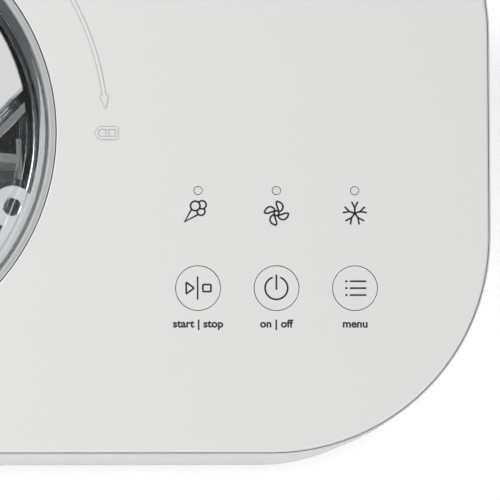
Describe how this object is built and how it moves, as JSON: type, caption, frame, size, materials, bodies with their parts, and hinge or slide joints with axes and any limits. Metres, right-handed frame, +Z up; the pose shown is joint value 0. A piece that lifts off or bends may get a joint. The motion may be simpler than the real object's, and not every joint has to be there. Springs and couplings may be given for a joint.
{
  "type": "ice cream maker",
  "caption": "Countertop compressor ice cream maker with a flush round twist-lock lid, clear filler hatch, stainless bowl and a corner of touch-flush push buttons.",
  "frame": {"origin": "on the table under the centre of the housing", "axes": "+Z up, +X to the user's right, -Y towards the user"},
  "size_m": [0.4334, 0.2834, 0.2451],
  "materials": {
    "white_panel": "satin white moulded plastic",
    "white_body": "fine satin white moulded plastic",
    "trim_grey": "light grey moulded plastic",
    "clear_plastic": "clear moulded plastic",
    "lid_white": "satin white moulded plastic",
    "silicone": "translucent silicone",
    "rubber_dark": "black rubber",
    "stainless": "drawn stainless steel",
    "steel": "turned steel",
    "zinc_screw": "zinc plated steel",
    "aluminium": "spun aluminium",
    "copper": "drawn copper tube",
    "foam": "rigid polyurethane foam",
    "black_plastic": "black moulded plastic",
    "paddle_white": "white food-safe plastic",
    "gear_nylon": "natural nylon",
    "bronze": "sintered bronze",
    "grey_plastic": "grey moulded plastic",
    "black_paint": "black paint",
    "galvanised": "galvanised steel sheet",
    "circuit_board": "green glass-fibre board",
    "lamp_lens": "diffusing plastic"
  },
  "bodies": {
    "housing": {"top_plate": "white_panel", "upper_housing": "white_body", "lower_housing": "white_body", "base_pan": "grey_plastic", "rubber_feet": "rubber_dark", "case_screws": "zinc_screw", "power_inlet": "black_plastic", "trim_ring": "trim_grey", "trim_ring_screws": "zinc_screw", "freezer_can": "aluminium", "evaporator_coil": "copper", "insulation": "foam", "chassis": "grey_plastic", "shaft_bushes": "bronze", "shaft_seal": "rubber_dark", "gear_axle": "steel", "drive_motor": "galvanised", "gearbox_case": "black_plastic", "gearbox_base": "black_plastic", "gearbox_screws": "zinc_screw", "motor_screws": "zinc_screw", "compressor": "black_paint", "compressor_pump": "steel", "terminal_cover": "black_plastic", "compressor_grommets": "rubber_dark", "compressor_bolts": "zinc_screw", "condenser_fins": "aluminium", "condenser_tube": "copper", "fan_shroud": "black_plastic", "fan_motor": "galvanised", "discharge_pipe": "copper", "liquid_pipe": "copper", "suction_pipe": "copper", "filter_drier": "copper", "drier_clip": "galvanised", "capillary_tube": "copper", "light_pipes": "lamp_lens", "button_switches": "black_plastic", "status_lamps": "lamp_lens", "control_board": "circuit_board", "board_screws": "zinc_screw", "power_board": "circuit_board"},
    "seal_ring": {"lid_seal": "silicone"},
    "lid": {"lid_base": "clear_plastic", "lid_cover": "lid_white", "hatch_pin": "steel"},
    "hatch": {"filler_hatch": "clear_plastic"},
    "bowl": {"bowl": "stainless", "bowl_ears": "paddle_white"},
    "paddle": {"mixing_paddle": "paddle_white"},
    "drive": {"drive_shaft": "steel", "output_gear": "gear_nylon"},
    "intermediate": {"intermediate_gear": "gear_nylon"},
    "pinion": {"motor_pinion": "gear_nylon", "motor_shaft": "steel"},
    "fan": {"condenser_fan": "grey_plastic", "fan_shaft": "steel"},
    "start_stop_key": {"start_stop_button": "white_panel"},
    "power_key": {"power_button": "white_panel"},
    "menu_key": {"menu_button": "white_panel"}
  },
  "joints": [
    {"name": "lid_lift", "type": "slide", "parent": "housing", "child": "seal_ring", "axis": [0, 0, 1], "range_m": [0, 0.36]},
    {"name": "lid_twist", "type": "hinge", "parent": "seal_ring", "child": "lid", "pos_m": [-0.075, 0, 0.24], "axis": [0, 0, 1], "range_deg": [-24, 0]},
    {"name": "hatch_swing", "type": "hinge", "parent": "lid", "child": "hatch", "pos_m": [-0.04049, -0.03451, 0.2414], "axis": [-0.7071, -0.7071, 0], "range_deg": [0, 100]},
    {"name": "bowl_lift", "type": "slide", "parent": "housing", "child": "bowl", "axis": [0, 0, 1], "range_m": [0, 0.12]},
    {"name": "drive_spin", "type": "hinge", "parent": "housing", "child": "drive", "pos_m": [-0.075, 0, 0.1], "axis": [0, 0, 1], "continuous": true},
    {"name": "paddle_lift", "type": "slide", "parent": "drive", "child": "paddle", "axis": [0, 0, 1], "range_m": [0, 0.24]},
    {"name": "intermediate_spin", "type": "hinge", "parent": "housing", "child": "intermediate", "pos_m": [-0.02813, 0, 0.076], "axis": [0, 0, 1], "continuous": true},
    {"name": "pinion_spin", "type": "hinge", "parent": "housing", "child": "pinion", "pos_m": [-0.0082, 0.02375, 0.07], "axis": [0, 0, 1], "continuous": true},
    {"name": "fan_spin", "type": "hinge", "parent": "housing", "child": "fan", "pos_m": [0.17, -0.01, 0.07], "axis": [1, 0, 0], "continuous": true},
    {"name": "start_stop_press", "type": "slide", "parent": "housing", "child": "start_stop_key", "axis": [0, 0, -1], "range_m": [0, 0.0006], "stiffness_N_per_m": 800, "springref_m": -0.0005},
    {"name": "power_press", "type": "slide", "parent": "housing", "child": "power_key", "axis": [0, 0, -1], "range_m": [0, 0.0006], "stiffness_N_per_m": 800, "springref_m": -0.0005},
    {"name": "menu_press", "type": "slide", "parent": "housing", "child": "menu_key", "axis": [0, 0, -1], "range_m": [0, 0.0006], "stiffness_N_per_m": 800, "springref_m": -0.0005}
  ],
  "couplings": [
    {"joint": "bowl_lift", "follows": "lid_lift", "ratio": 0.33333},
    {"joint": "paddle_lift", "follows": "lid_lift", "ratio": 0.66667},
    {"joint": "intermediate_spin", "follows": "drive_spin", "ratio": -4},
    {"joint": "pinion_spin", "follows": "drive_spin", "ratio": 13.714}
  ]
}
